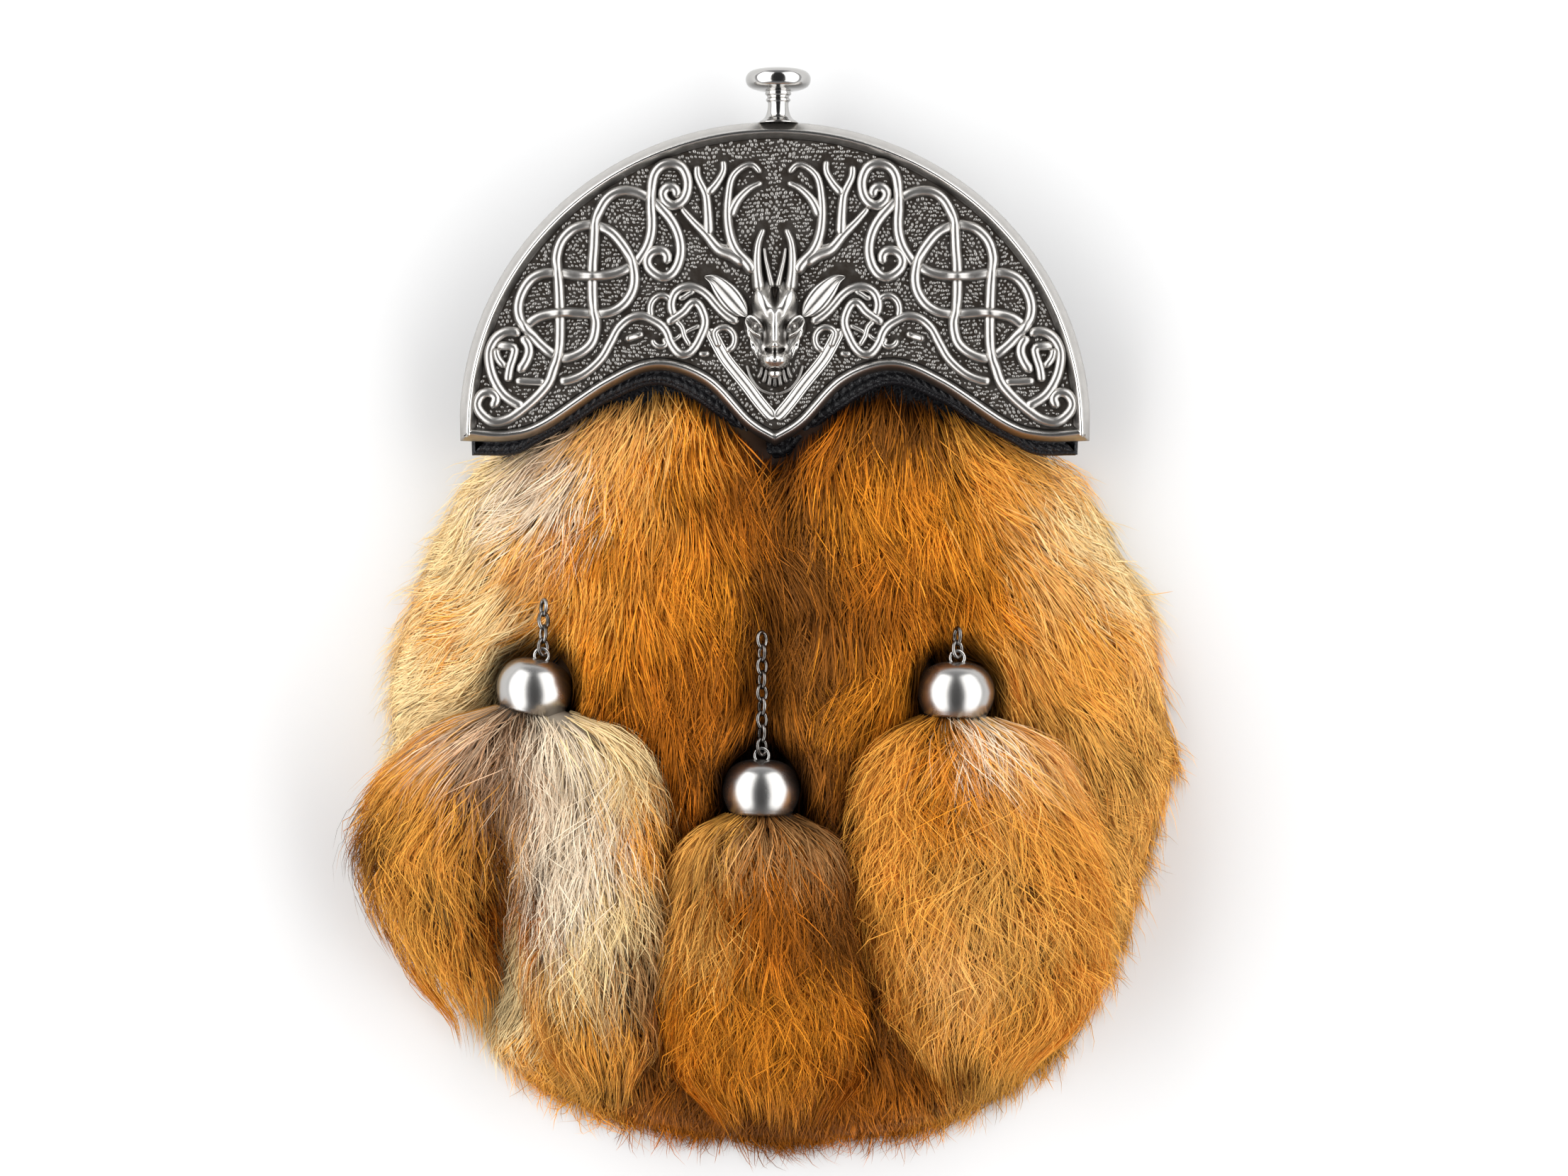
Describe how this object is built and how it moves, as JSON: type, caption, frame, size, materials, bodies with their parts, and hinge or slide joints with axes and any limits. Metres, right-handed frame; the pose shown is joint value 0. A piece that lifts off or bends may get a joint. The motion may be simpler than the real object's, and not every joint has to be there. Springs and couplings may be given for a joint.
{
  "type": "sporran pouch",
  "caption": "Full-dress sporran lying on its back: fur pouch under a cast half-moon metal cantle with a finial knob, and capped fur tassels on short chains.",
  "frame": {"origin": "on the pouch's flat back, 47 mm below the centre of the cantle's arc, on the centre line", "axes": "+X to the right as seen from the front, +Y from the pouch's foot to the knob, +Z out of the front"},
  "size_m": [0.2004, 0.2649, 0.0525],
  "materials": {
    "antique_metal": "antiqued cast metal, bright crests over blackened recesses",
    "bright_metal": "polished plate",
    "black_leather": "embossed, semi-gloss",
    "fox_fur": "long guard hair, golden orange to cream",
    "brown_fur": "long guard hair, brown orange with dark tips"
  },
  "bodies": {
    "root": {"cantle": "antique_metal", "knob": "bright_metal", "cantle_board": "black_leather", "pouch_front": "black_leather", "pouch_back": "black_leather", "pouch_fur": "fox_fur", "tassel_left": "brown_fur", "tassel_center": "brown_fur", "tassel_right": "fox_fur", "cap_left": "bright_metal", "cap_center": "bright_metal", "cap_right": "bright_metal", "chain_left": "antique_metal", "chain_center": "antique_metal", "chain_right": "antique_metal", "strap_loop_left": "bright_metal", "strap_loop_right": "bright_metal"}
  },
  "joints": []
}
